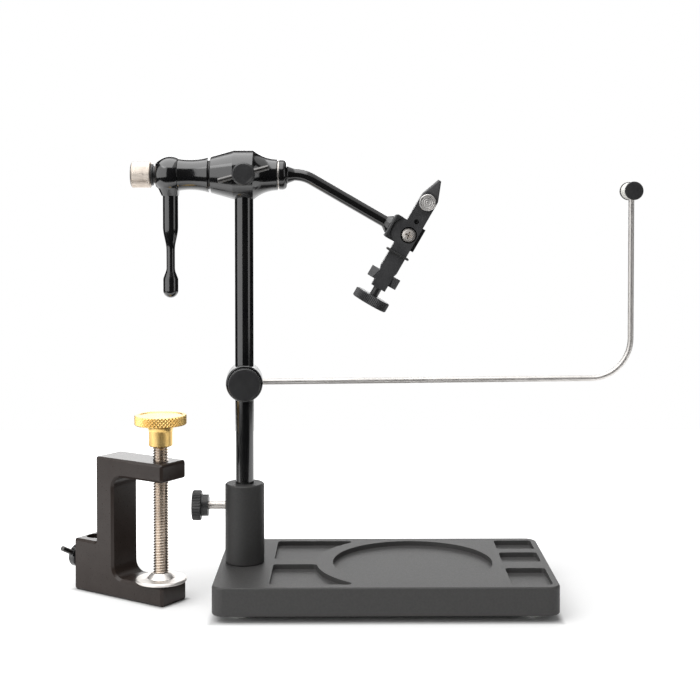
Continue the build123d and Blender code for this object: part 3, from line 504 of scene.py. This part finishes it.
def roundArmCorners(piece):
    # the two corners of the jaw block on the arm's side
    def atCorner(co):
        arm = co - jawPivot
        back = abs(arm.dot(jawAcross) + armCorner["back"] * mm)
        side = abs(abs(arm.dot(jawAlong)) - armCorner["half"] * mm)
        return max(back, side) < armCorner["near"] * mm

    pickVerts(piece, atCorner)
    roundPicked(armCorner["round"], armCorner["steps"])


handFinish = {"front_jaw": facetJawTip, "rotary_arm": roundArmCorners}

for nodeName, (width, segments, material) in fineCopies.items():
    piece = copyNode(nodeName)
    if nodeName in handFinish:
        handFinish[nodeName](piece)
    softenEdges(piece, width, segments)
    smoothSides(piece, flatAngle if nodeName in flatSided else sharpAngle)
    evenNormals(piece)
    dress(piece, nodeName, material)
print("fine copies made,", len(fineCopies))

# Nodes that are hidden, or nearly so, keep their CAD mesh and only take a finish

plainNodes = {
    "socket_bolt": steel["lathedSteel"], "stem_grub_screw": knobBlack,
    "front_bush": mottled["bushBronze"], "rear_bush": mottled["bushBronze"],
    "brake_pad": mottled["padNylon"], "main_shaft": steel["lathedSteel"],
    "fulcrum_pin": lockBlack, "cradle_screw": steel["lathedSteel"],
}
for nodeName, material in plainNodes.items():
    for slot in frame["nodes"][nodeName].material_slots:
        slot.material = material
print("hidden nodes finished,", len(plainNodes))


# Turning by hand: one vertex, extruded along a profile, then spun

def startVertex(name, point):
    deselectAll()
    bpy.ops.mesh.primitive_plane_add(size=mm, location=point)
    piece = bpy.context.object
    piece.name = name
    piece.data.name = name
    bpy.ops.object.mode_set(mode="EDIT")
    bpy.ops.mesh.select_mode(type="VERT")
    bpy.ops.mesh.select_all(action="SELECT")
    bpy.ops.mesh.merge(type="CENTER")
    return piece


def drawProfile(name, axisPoint, axisDir, sideDir, points):
    # points are (distance along the axis, radius) in mm
    places = [axisPoint + axisDir * (along * mm) + sideDir * (radius * mm) for along, radius in points]
    piece = startVertex(name, places[0])
    for last, here in zip(places, places[1:]):
        bpy.ops.mesh.extrude_vertices_move(TRANSFORM_OT_translate={"value": here - last})
    return piece


def lathe(name, axisPoint, axisDir, sideDir, points, steps):
    piece = drawProfile(name, axisPoint, axisDir, sideDir, points)
    bpy.ops.mesh.select_all(action="SELECT")
    bpy.ops.mesh.spin(steps=steps, angle=2 * math.pi, center=axisPoint, axis=axisDir)
    bpy.ops.mesh.select_all(action="SELECT")
    closeSeams(spinGap)
    settle(piece)
    return piece


def arcPoints(centre, radius, start, end, count):
    turns = [math.radians(start + (end - start) * i / count) for i in range(count + 1)]
    return [(centre[0] + radius * math.sin(t), centre[1] + radius * math.cos(t)) for t in turns]


def evenRows(low, high, rows, radius):
    return [(low + (high - low) * row / rows, radius) for row in range(rows + 1)]


knurlSlack = {"out": 0.05, "along": 0.01}  # mm that a vertex may be off and still count as on the rim


def diamondKnurl(piece, axisPoint, axisDir, sideDir, low, high, spec):
    # every second vertex of the rim is pressed in, so that small pyramids stand between them
    crossDir = axisDir.cross(sideDir)
    step = (high - low) / spec["rows"]

    def pressed(co):
        arm = co - axisPoint
        along = arm.dot(axisDir) / mm
        out = math.hypot(arm.dot(sideDir), arm.dot(crossDir)) / mm
        if out < spec["radius"] - knurlSlack["out"]:
            return False
        if along < low - knurlSlack["along"] or along > high + knurlSlack["along"]:
            return False
        turn = math.atan2(arm.dot(crossDir), arm.dot(sideDir))
        column = round(turn / (2 * math.pi) * spec["columns"])
        return (column + round((along - low) / step)) % 2 == 1

    pickVerts(piece, pressed)
    squeeze = 1 - spec["knurl"] / spec["radius"]
    value = [1.0 if abs(part) > 0.5 else squeeze for part in axisDir]  # nothing moves along the axis
    bpy.ops.transform.resize(value=value, center_override=axisPoint)
    leaveEdit()
    # each face is split between its pressed corners
    editAll(piece)
    bpy.ops.mesh.quads_convert_to_tris(quad_method="SHORTEST_DIAGONAL")
    leaveEdit()


# Table clamp: threaded screw, brass knob and swivel pad

clampThread = {"low": 15.0, "high": 88.7, "major": 3.95, "minor": 3.2, "pitch": 1.41, "crest": 0.14,
               "steps": 40, "smooth": 30}


def makeThread(spec):
    crest = spec["crest"] * spec["pitch"]
    rise = (spec["pitch"] - crest) / 2
    deep = spec["major"] - spec["minor"]
    turns = int((spec["high"] - spec["low"]) / spec["pitch"]) + 2
    piece = startVertex("clampThread", clampAxis + up * ((spec["low"] - spec["pitch"]) * mm))
    bpy.ops.transform.translate(value=right * (spec["minor"] * mm))
    for out, rose in ((deep, rise), (0, crest), (-deep, rise)):
        bpy.ops.mesh.extrude_vertices_move(
            TRANSFORM_OT_translate={"value": right * (out * mm) + up * (rose * mm)})
    leaveEdit()
    applyModifier(piece, "SCREW", {
        "axis": "Z", "screw_offset": spec["pitch"] * mm, "iterations": turns, "steps": spec["steps"],
        "render_steps": spec["steps"], "use_merge_vertices": True, "merge_threshold": spinGap,
    })
    settle(piece)
    for height, outwards in ((spec["low"], -1), (spec["high"], 1)):
        cut = clampAxis + up * (height * mm)
        editAll(piece)
        bpy.ops.mesh.bisect(plane_co=cut, plane_no=up * outwards, clear_outer=True, use_fill=True)
        leaveEdit()
    editAll(piece)
    closeSeams(spinGap)
    smoothSides(piece, spec["smooth"])
    return piece


dress(makeThread(clampThread), "clamp_screw", steel["screwSteel"])

brassKnob = {"low": 79.7, "high": 95.5, "rim": 4.8, "radius": 13.29, "hub": 6.1, "hubEdge": 0.4,
             "flare": 3.6, "flareSteps": 8, "edge": 0.5, "columns": 88, "rows": 4, "knurl": 0.55,
             "lip": 1.4, "dish": 0.35, "dishSlope": 0.5, "smooth": 24}


def makeBrassKnob(spec):
    low, high, radius, hub = spec["low"], spec["high"], spec["radius"], spec["hub"]
    flare, edge, hubEdge = spec["flare"], spec["edge"], spec["hubEdge"]
    rimLow = high - spec["rim"]
    profile = [(low, 0), (low, hub - hubEdge), (low + hubEdge, hub)]
    profile += arcPoints((rimLow - flare, hub + flare), flare, 180, 90, spec["flareSteps"])
    profile += [(rimLow, radius - edge)]
    knurlLow, knurlHigh = rimLow + edge, high - edge
    profile += evenRows(knurlLow, knurlHigh, spec["rows"], radius)
    lipEnd = radius - edge - spec["lip"]
    floor = high - spec["dish"]
    profile += [(high, radius - edge), (high, lipEnd), (floor, lipEnd - spec["dishSlope"]), (floor, 0)]
    piece = lathe("brassKnob", clampAxis, up, right, profile, spec["columns"])
    diamondKnurl(piece, clampAxis, up, right, knurlLow, knurlHigh, spec)
    smoothSides(piece, spec["smooth"])
    return piece


dress(makeBrassKnob(brassKnob), "clamp_knob", clampBrass)

swivelPad = {"low": 10.3, "rim": 1.6, "radius": 12.95, "edge": 0.35, "foot": 8.0, "footRise": 0.12,
             "cone": 7.0, "coneRise": 0.35, "neck": 4.8, "neckEdge": 0.3, "neckDrop": 0.2, "high": 14.9,
             "steps": 96, "smooth": 20}


def makeSwivelPad(spec):
    low, high, radius, edge = spec["low"], spec["high"], spec["radius"], spec["edge"]
    top = low + spec["rim"]
    profile = [(low, 0), (low, radius - edge), (low + edge, radius)]
    profile += [(top - edge, radius), (top, radius - edge)]
    profile += [(top + spec["footRise"], spec["foot"]), (top + spec["coneRise"], spec["cone"])]
    profile += [(high - spec["neckDrop"], spec["neck"])]
    profile += [(high, spec["neck"] - spec["neckEdge"]), (high, 0)]
    piece = lathe("swivelPad", clampAxis, up, right, profile, spec["steps"])
    smoothSides(piece, spec["smooth"])
    return piece


dress(makeSwivelPad(swivelPad), "clamp_pad", steel["padSteel"])
print("table clamp modelled")

# Jaws: ring, size screw and pivot screw

jawRing = {"reach": -11.2, "halfAcross": 5.85, "halfDeep": 5.6, "wire": 1.2, "wireSteps": 4, "corner": 1.4,
           "cornerSteps": 8, "smooth": 60}


def makeJawRing(spec):
    deselectAll()
    bpy.ops.mesh.primitive_plane_add(size=2 * spec["halfAcross"] * mm)
    piece = bpy.context.object
    piece.name = "jawRing"
    editAll(piece)
    squash = spec["halfDeep"] / spec["halfAcross"]
    bpy.ops.transform.resize(value=(1, squash, 1), center_override=(0, 0, 0))
    bpy.ops.mesh.bevel(offset=spec["corner"] * mm, segments=spec["cornerSteps"], affect="VERTICES")
    bpy.ops.mesh.select_all(action="SELECT")
    bpy.ops.mesh.delete(type="ONLY_FACE")
    leaveEdit()
    bpy.ops.object.convert(target="CURVE")
    piece = bpy.context.object
    piece.data.bevel_depth = spec["wire"] / 2 * mm
    piece.data.bevel_resolution = spec["wireSteps"]
    piece.data.use_fill_caps = False
    bpy.ops.object.convert(target="MESH")
    piece = bpy.context.object
    piece.rotation_euler = (0, math.radians(jawLean), 0)  # square to the jaws
    piece.location = jawPivot + jawAlong * (spec["reach"] * mm)
    settle(piece)
    editAll(piece)
    closeSeams(mergeGap)
    smoothSides(piece, spec["smooth"])
    return piece


dress(makeJawRing(jawRing), "jaw_ring", mottled["ringRubber"])

sizeScrew = {"reach": 19.2, "shank": 1.5, "low": -3.25, "head": 5.23, "top": 6.93, "radius": 4.25,
             "headEdge": 0.2, "rimEdge": 0.25, "rim": 0.8, "dish": 0.4, "rings": 3, "ringDeep": 0.12,
             "steps": 72, "smooth": 14}


def makeSizeScrew(spec):
    centre = jawPivot + jawAlong * (spec["reach"] * mm)
    low, head, top, shank, radius = spec["low"], spec["head"], spec["top"], spec["shank"], spec["radius"]
    headEdge, rimEdge = spec["headEdge"], spec["rimEdge"]
    floor = top - spec["dish"]
    inner = radius - spec["rim"] - rimEdge
    profile = [(low, 0), (low, shank), (head, shank), (head, radius - headEdge), (head + headEdge, radius)]
    profile += [(top - rimEdge, radius), (top, radius - rimEdge)]
    profile += [(top, radius - spec["rim"]), (floor, inner)]
    steps = 2 * spec["rings"]
    for step in range(1, steps):
        profile.append((floor + spec["ringDeep"] * (step % 2), inner * (1 - step / steps)))
    profile.append((floor, 0))
    piece = lathe("sizeScrew", centre, front, right, profile, spec["steps"])
    smoothSides(piece, spec["smooth"])
    return piece


dress(makeSizeScrew(sizeScrew), "jaw_size_screw", steel["faceSteel"])

pivotScrew = {"shank": 1.5, "low": -7.25, "head": -0.05, "top": 4.05, "radius": 3.65, "crown": 0.75,
              "crownSteps": 6, "slotWidth": 1.05, "slotLength": 4.6, "slotDeep": 1.7, "slotNarrow": 0.6,
              "slotTurns": (25, 115), "steps": 64, "smooth": 30}


def cutSlot(piece, spec, turn):
    middle = jawPivot + front * (spec["top"] * mm)
    deselectAll()
    bpy.ops.mesh.primitive_cube_add(size=mm, location=middle)
    cutter = bpy.context.object
    editAll(cutter)
    bpy.ops.transform.resize(value=(spec["slotLength"], 2 * spec["slotDeep"], spec["slotWidth"]),
                             center_override=middle)
    leaveEdit()
    cutter.rotation_euler = (0, math.radians(turn), 0)
    settle(cutter)
    # the slots narrow downwards
    narrow = spec["slotNarrow"]
    pickVerts(cutter, lambda co: co.y > middle.y)
    bpy.ops.transform.resize(value=(narrow, 1, narrow), center_override=jawPivot)
    leaveEdit()
    applyModifier(piece, "BOOLEAN", {"operation": "DIFFERENCE", "object": cutter, "solver": "EXACT"})
    bpy.data.objects.remove(cutter)


def makePivotScrew(spec):
    low, head, top, shank, radius = spec["low"], spec["head"], spec["top"], spec["shank"], spec["radius"]
    profile = [(low, 0), (low, shank), (head, shank), (head, radius), (top - spec["crown"], radius)]
    for step in range(1, spec["crownSteps"] + 1):
        turn = math.pi / 2 * step / spec["crownSteps"]
        profile.append((top - spec["crown"] * (1 - math.sin(turn)), radius * math.cos(turn)))
    piece = lathe("pivotScrew", jawPivot, front, right, profile, spec["steps"])
    for turn in spec["slotTurns"]:
        cutSlot(piece, spec, turn)
    smoothSides(piece, spec["smooth"])
    return piece


dress(makePivotScrew(pivotScrew), "jaw_pivot_screw", steel["crossSteel"])
print("jaw fittings modelled")

# Rear knob with a fine diamond knurl, and the cradle's spool

rearKnob = {"low": -57.7, "high": -47.4, "radius": 6.65, "edge": 0.6, "faceIn": 0.8, "land": 0.15,
            "bore": 2.55, "boreDeep": 4.0, "columns": 96, "rows": 20, "knurl": 0.14, "smooth": 24}


def makeRearKnob(spec):
    low, high, radius, edge = spec["low"], spec["high"], spec["radius"], spec["edge"]
    face = radius - spec["faceIn"]
    boreEnd = high - spec["boreDeep"]
    knurlLow, knurlHigh = low + edge + spec["land"], high - edge - spec["land"]
    profile = [(low, 0), (low, face), (low + edge, radius)]
    profile += evenRows(knurlLow, knurlHigh, spec["rows"], radius)
    profile += [(high - edge, radius), (high, face), (high, spec["bore"])]
    profile += [(boreEnd, spec["bore"]), (boreEnd, 0)]
    piece = lathe("rearKnob", headAxis, right, up, profile, spec["columns"])
    diamondKnurl(piece, headAxis, right, up, knurlLow, knurlHigh, spec)
    smoothSides(piece, spec["smooth"])
    return piece


dress(makeRearKnob(rearKnob), "shaft_knob", steel["knobSteel"])

spoolLow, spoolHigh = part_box("cradle_spool")
spool = {"turn": -1.0, "half": 8.0, "flange": 1.8, "radius": 4.85, "core": 4.2, "edge": 0.4,
         "edgeSteps": 4, "sleeve": 0.25, "sleeveGap": 0.05, "steps": 64, "smooth": 30}


def makeSpool(spec):
    turn = math.radians(spec["turn"])
    axisDir = Vector((-math.sin(turn), math.cos(turn), 0))
    centre = (Vector(spoolLow) + Vector(spoolHigh)) / 2
    half, radius, edge = spec["half"], spec["radius"], spec["edge"]
    inner = half - spec["flange"]
    nearEnd = [(-half, 0), (-half, radius - edge)]
    nearEnd += arcPoints((-half + edge, radius - edge), edge, -90, 0, spec["edgeSteps"])[1:]
    nearEnd += [(-inner - edge, radius)]
    nearEnd += arcPoints((-inner - edge, radius - edge), edge, 0, 90, spec["edgeSteps"])[1:]
    nearEnd += [(-inner, spec["core"])]
    farEnd = [(-along, out) for along, out in reversed(nearEnd)]
    piece = lathe("spoolFlanges", centre, axisDir, up, nearEnd + farEnd, spec["steps"])
    smoothSides(piece, spec["smooth"])
    dress(piece, "cradle_spool", spoolBlack)
    # the pale sleeve on the core
    end = inner - spec["sleeveGap"]
    out = spec["core"] + spec["sleeve"]
    sleeve = [(-end, spec["core"]), (-end, out), (end, out), (end, spec["core"])]
    core = lathe("spoolCore", centre, axisDir, up, sleeve + sleeve[:1], spec["steps"])
    smoothSides(core, spec["smooth"])
    core.data.materials.clear()
    core.data.materials.append(mottled["padNylon"])
    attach(core, bodyOf["cradle_spool"])


makeSpool(spool)
print("rear knob and spool modelled")

# Stage, light and camera, in metres

stage = {
    "floorLow": (-0.45, -0.17), "floorHigh": (0.55, 0.5), "floorRough": 0.9,
    "floorWhite": (0.66, 0.66, 0.66),
    # floor glow by distance from the footprints: none under them and low near them as painted shadow, full white
    # farther out
    "lift": ((0.0, 0.0), (0.0025, 0.34), (0.03, 0.34), (0.1, 1.0)),
    "wallRadius": 3.2, "wallHeight": 6.4, "wallSides": 60, "wallShade": (0.015, 0.015, 0.015),
    "backGap": 18, "gapHigh": 1.1, "gapSlack": 0.01, "fillShade": (0.2, 0.2, 0.2),
}
# floor areas under the base and the clamp, where the floor's glow is taken away as painted shadow
paintedShadowFootprints = [
    {"middle": (0.0721, 0.0, 0.0), "half": (0.0849, 0.0475, 1.0), "turn": 0.0},
    {"middle": (-0.0602, 0.0029, 0.0), "half": (0.0307, 0.0095, 1.0), "turn": -33.5},
]


def footDistance(tree, coords, foot):
    # how far a place on the floor is from what stands on it
    place = tree.nodes.new("ShaderNodeMapping")
    place.vector_type = "TEXTURE"
    place.inputs["Location"].default_value = foot["middle"]
    place.inputs["Rotation"].default_value = (0, 0, math.radians(foot["turn"]))
    tree.links.new(coords, place.inputs["Vector"])
    out = vectorStep(tree, "ABSOLUTE", place.outputs["Vector"], (0, 0, 0))["Vector"]
    out = vectorStep(tree, "SUBTRACT", out, foot["half"])["Vector"]
    out = vectorStep(tree, "MAXIMUM", out, (0, 0, 0))["Vector"]
    return vectorStep(tree, "LENGTH", out, (0, 0, 0))["Value"]


def seenRay(tree):
    # 1 for camera, glossy and transmission rays
    path = tree.nodes.new("ShaderNodeLightPath")
    first = mathStep(tree, "MAXIMUM", path.outputs["Is Camera Ray"], path.outputs["Is Glossy Ray"])
    return mathStep(tree, "MAXIMUM", first, path.outputs["Is Transmission Ray"])


def makeFloorWhite():
    mat, tree, shader, coords = startMaterial("floorWhite")
    setSockets(shader, {"Base Color": (*stage["floorWhite"], 1), "Roughness": stage["floorRough"],
                        "Specular IOR Level": 0.0, "Emission Color": (1, 1, 1, 1)})
    # white glow for what the camera and the metal see, with the lamps' shadow kept round the object; the glow is
    # cut away under the footprints and held low near them, a painted shadow
    away = [footDistance(tree, coords, foot) for foot in paintedShadowFootprints]
    nearest = mathStep(tree, "MINIMUM", away[0], away[1])
    reach = stage["lift"][-1][0]
    ramp = tree.nodes.new("ShaderNodeValToRGB")
    while len(ramp.color_ramp.elements) < len(stage["lift"]):
        ramp.color_ramp.elements.new(0.5)  # moved to its place below
    for element, (far, white) in zip(ramp.color_ramp.elements, stage["lift"]):
        element.position = far / reach
        element.color = (white, white, white, 1)
    tree.links.new(spread(tree, nearest, 0.0, 1.0, 0.0, reach), ramp.inputs["Fac"])
    seen = mathStep(tree, "MULTIPLY", ramp.outputs["Color"], seenRay(tree))
    tree.links.new(seen, shader.inputs["Emission Strength"])
    return mat


def makeFloor():
    low, high = stage["floorLow"], stage["floorHigh"]
    deselectAll()
    middle = ((low[0] + high[0]) / 2, (low[1] + high[1]) / 2, 0)
    bpy.ops.mesh.primitive_plane_add(size=1.0, location=middle)
    floor = bpy.context.object
    floor.name = "floor"
    floor.scale = (high[0] - low[0], high[1] - low[1], 1.0)
    settle(floor)
    floor.data.materials.append(makeFloorWhite())


def makeStudioWall():
    # dark cards round the set that only the reflections show, open behind the object
    deselectAll()
    bpy.ops.mesh.primitive_cylinder_add(
        vertices=stage["wallSides"], radius=stage["wallRadius"], depth=stage["wallHeight"],
        end_fill_type="NOTHING", location=(0, 0, 0))
    wall = bpy.context.object
    wall.name = "studioWall"
    settle(wall)
    editAll(wall)
    bpy.ops.mesh.bisect(plane_co=(0, 0, stage["gapHigh"]), plane_no=(0, 0, 1))
    leaveEdit()
    gap = math.radians(stage["backGap"])
    gapTop = stage["gapHigh"] + stage["gapSlack"]
    pickVerts(wall, lambda co: abs(math.atan2(co.x, co.y)) < gap and co.z < gapTop)
    bpy.ops.mesh.delete(type="FACE")
    leaveEdit()
    mat = bpy.data.materials.new("studioCard")
    mat.use_nodes = True
    shader = mat.node_tree.nodes["Principled BSDF"]
    setSockets(shader, {"Base Color": (*stage["wallShade"], 1), "Roughness": 1.0,
                        "Specular IOR Level": 0.0})
    wall.data.materials.append(mat)
    wall.visible_camera = False
    wall.visible_diffuse = False
    wall.visible_transmission = False
    wall.visible_shadow = False


softboxes = {
    "leftBox": {"at": (-0.8, -0.57, 0.6), "aim": (0.0, 0.0, 0.6), "size": (1.38, 1.3), "power": 11.0},
    "topBox": {"at": (-0.4, -0.2, 1.3), "aim": (-0.4, -0.2, 0.0), "size": (1.5, 1.7), "power": 20.0},
    "rightBox": {"at": (1.1, -0.5, 0.5), "aim": (0.0, 0.0, 0.4), "size": (0.5, 1.0), "power": 2.4},
    "backBox": {"at": (0.1, 1.6, 0.55), "aim": (0.0, 0.0, 0.1), "size": (1.4, 0.6), "power": 6.0},
}


def makeLights():
    for name, box in softboxes.items():
        light = bpy.data.lights.new(name, "AREA")
        light.shape = "RECTANGLE"
        light.size, light.size_y = box["size"]
        light.energy = box["power"]
        lamp = bpy.data.objects.new(name, light)
        bpy.context.scene.collection.objects.link(lamp)
        lamp.location = box["at"]
        aim = Vector(box["aim"]) - Vector(box["at"])
        lamp.rotation_euler = aim.to_track_quat("-Z", "Y").to_euler()


def makeWorld():
    # white for what the camera and the metal see, and a dim fill for the rest
    world = bpy.data.worlds.new("studio")
    world.use_nodes = True
    tree = world.node_tree
    back = tree.nodes["Background"]
    back.inputs["Color"].default_value = (*stage["fillShade"], 1)
    white = tree.nodes.new("ShaderNodeBackground")
    white.inputs["Color"].default_value = (1, 1, 1, 1)
    mix = tree.nodes.new("ShaderNodeMixShader")
    tree.links.new(seenRay(tree), mix.inputs["Fac"])
    tree.links.new(back.outputs[0], mix.inputs[1])
    tree.links.new(white.outputs[0], mix.inputs[2])
    tree.links.new(mix.outputs[0], tree.nodes["World Output"].inputs["Surface"])
    bpy.context.scene.world = world


photoCamera = {"at": (0.0551, -0.6752, 0.2010), "pitch": 1.624, "yaw": -0.520, "lens": 67.362,
               "sensor": 36.0, "shift": (-0.0185, -0.15)}


def makeCamera():
    cam = bpy.data.cameras.new("photoCamera")
    cam.lens = photoCamera["lens"]
    cam.sensor_width = photoCamera["sensor"]
    cam.shift_x, cam.shift_y = photoCamera["shift"]
    holder = bpy.data.objects.new("photoCamera", cam)
    bpy.context.scene.collection.objects.link(holder)
    holder.location = photoCamera["at"]
    holder.rotation_euler = (math.radians(90 - photoCamera["pitch"]), 0, math.radians(photoCamera["yaw"]))
    bpy.context.scene.camera = holder


makeFloor()
makeStudioWall()
makeLights()
makeWorld()
makeCamera()
bpy.context.scene.view_settings.view_transform = "Standard"
print("stage, lights and camera made")

deselectAll()
